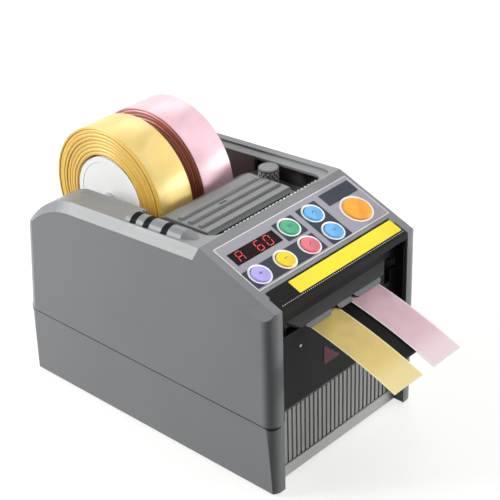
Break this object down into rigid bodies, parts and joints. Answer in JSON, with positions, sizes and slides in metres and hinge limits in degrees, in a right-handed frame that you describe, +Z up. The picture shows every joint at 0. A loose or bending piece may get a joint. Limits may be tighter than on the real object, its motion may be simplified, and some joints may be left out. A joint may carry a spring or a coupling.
{
  "type": "electric tape dispenser",
  "caption": "Counter-top electric tape dispenser: grey case with a slanted button panel, ribbed feed cover, twin ribbon rolls on a reel and a front cutter that feeds and cuts tape to length.",
  "frame": {"origin": "middle of the box around the part, on the plane that the rubber feet stand on", "axes": "+Z up, -Y towards the user, where the tape leaves the cutter, +X to the right of the user"},
  "size_m": [0.127, 0.2587, 0.1669],
  "materials": {
    "body_plastic": "fine moulded grain",
    "front_plastic": "fine moulded grain",
    "dark_plastic": "fine moulded grain",
    "black_plastic": "satin",
    "foot_rubber": "matt",
    "roller_rubber": "matt",
    "steel": "brushed",
    "brass": "turned",
    "white_plastic": "satin",
    "core_card": "matt",
    "yellow_ribbon": "satin",
    "pink_ribbon": "satin",
    "lens_red": "polished",
    "overlay_film": "printed film",
    "display_red": "polished",
    "circuit_board": "lacquered",
    "button_purple": "satin",
    "button_yellow": "satin",
    "button_pink": "satin",
    "button_green": "satin",
    "button_blue": "satin",
    "button_orange": "satin"
  },
  "bodies": {
    "base": {"lower_case": "body_plastic", "upper_case": "body_plastic", "front_panel": "front_plastic", "rubber_feet": "foot_rubber", "case_screws": "steel", "left_frame": "steel", "right_frame": "steel", "frame_spacers": "steel", "feed_bushes": "brass", "feed_motor": "steel", "feed_deck": "dark_plastic", "cover_hinge_pin": "steel", "axle_brackets": "dark_plastic", "reel_axle": "steel", "yellow_tape_web": "yellow_ribbon", "pink_tape_web": "pink_ribbon", "yellow_tape_end": "yellow_ribbon", "pink_tape_end": "pink_ribbon", "cutter_frame": "steel", "cutter_base": "black_plastic", "cutter_cover": "black_plastic", "outlet_lips": "steel", "outfeed_tongue": "black_plastic", "sensor_lens": "lens_red", "fixed_blade": "steel", "guide_posts": "steel", "cutter_motor": "steel", "panel_overlay": "overlay_film", "display_window": "display_red", "display_module": "black_plastic", "control_board": "circuit_board", "tact_switches": "black_plastic", "power_inlet": "black_plastic", "power_switch": "black_plastic", "power_board": "circuit_board"},
    "reel": {"reel_hub": "white_plastic", "yellow_core": "core_card", "pink_core": "core_card", "yellow_tape_roll": "yellow_ribbon", "pink_tape_roll": "pink_ribbon"},
    "feed": {"feed_shaft": "steel", "feed_roller": "roller_rubber", "feed_gear": "white_plastic"},
    "feed_pinion": {"motor_pinion": "brass"},
    "cover": {"feed_cover": "body_plastic"},
    "pinch": {"pinch_shaft": "steel", "pinch_roller": "white_plastic"},
    "knob": {"pressure_knob": "dark_plastic"},
    "cutter": {"blade_carrier": "steel", "moving_blade": "steel"},
    "cutter_drive": {"cutter_pinion": "brass"},
    "rocker": {"power_rocker": "black_plastic"},
    "purple_button": {"purple_button": "button_purple"},
    "yellow_button": {"yellow_button": "button_yellow"},
    "pink_button": {"pink_button": "button_pink"},
    "green_button": {"green_button": "button_green"},
    "up_button": {"up_button": "button_blue"},
    "down_button": {"down_button": "button_blue"},
    "start_button": {"start_button": "button_orange"}
  },
  "joints": [
    {"name": "reel_spin", "type": "hinge", "parent": "base", "child": "reel", "pos_m": [0, 0.08125, 0.1215], "axis": [1, 0, 0], "continuous": true},
    {"name": "feed_spin", "type": "hinge", "parent": "base", "child": "feed", "pos_m": [0, -0.00425, 0.0995], "axis": [1, 0, 0], "continuous": true},
    {"name": "pinion_spin", "type": "hinge", "parent": "base", "child": "feed_pinion", "pos_m": [0, 0.00533, 0.07319], "axis": [1, 0, 0], "continuous": true},
    {"name": "cover_hinge", "type": "hinge", "parent": "base", "child": "cover", "pos_m": [0, -0.01375, 0.126], "axis": [1, 0, 0], "range_deg": [0, 70]},
    {"name": "pinch_spin", "type": "hinge", "parent": "cover", "child": "pinch", "pos_m": [0, -0.00425, 0.1145], "axis": [1, 0, 0], "continuous": true},
    {"name": "knob_turn", "type": "hinge", "parent": "base", "child": "knob", "pos_m": [0.0395, 0.01775, 0.1255], "axis": [0, 0, 1], "range_deg": [0, 180]},
    {"name": "blade_slide", "type": "slide", "parent": "base", "child": "cutter", "axis": [0, 0, -1], "range_m": [0, 0.007]},
    {"name": "cutter_pinion_spin", "type": "hinge", "parent": "base", "child": "cutter_drive", "pos_m": [0.031, -0.05965, 0.0828], "axis": [0, 1, 0], "range_deg": [-2, 59.3]},
    {"name": "rocker_tilt", "type": "hinge", "parent": "base", "child": "rocker", "pos_m": [0.025, 0.12375, 0.026], "axis": [1, 0, 0], "range_deg": [-8, 8]},
    {"name": "purple_button_press", "type": "slide", "parent": "base", "child": "purple_button", "axis": [0, 0.3584, -0.9336], "range_m": [0, 0.0007], "stiffness_N_per_m": 800, "springref_m": -0.0003},
    {"name": "yellow_button_press", "type": "slide", "parent": "base", "child": "yellow_button", "axis": [0, 0.3584, -0.9336], "range_m": [0, 0.0007], "stiffness_N_per_m": 800, "springref_m": -0.0003},
    {"name": "pink_button_press", "type": "slide", "parent": "base", "child": "pink_button", "axis": [0, 0.3584, -0.9336], "range_m": [0, 0.0007], "stiffness_N_per_m": 800, "springref_m": -0.0003},
    {"name": "green_button_press", "type": "slide", "parent": "base", "child": "green_button", "axis": [0, 0.3584, -0.9336], "range_m": [0, 0.0007], "stiffness_N_per_m": 800, "springref_m": -0.0003},
    {"name": "up_button_press", "type": "slide", "parent": "base", "child": "up_button", "axis": [0, 0.3584, -0.9336], "range_m": [0, 0.0007], "stiffness_N_per_m": 800, "springref_m": -0.0003},
    {"name": "down_button_press", "type": "slide", "parent": "base", "child": "down_button", "axis": [0, 0.3584, -0.9336], "range_m": [0, 0.0007], "stiffness_N_per_m": 800, "springref_m": -0.0003},
    {"name": "start_button_press", "type": "slide", "parent": "base", "child": "start_button", "axis": [0, 0.3584, -0.9336], "range_m": [0, 0.0007], "stiffness_N_per_m": 800, "springref_m": -0.0003}
  ],
  "couplings": [
    {"joint": "feed_spin", "follows": "reel_spin", "ratio": -5.875},
    {"joint": "pinion_spin", "follows": "reel_spin", "ratio": 14.688},
    {"joint": "pinch_spin", "follows": "reel_spin", "ratio": 7.8333},
    {"joint": "cutter_pinion_spin", "follows": "blade_slide", "rad_per_m": 142.86}
  ]
}
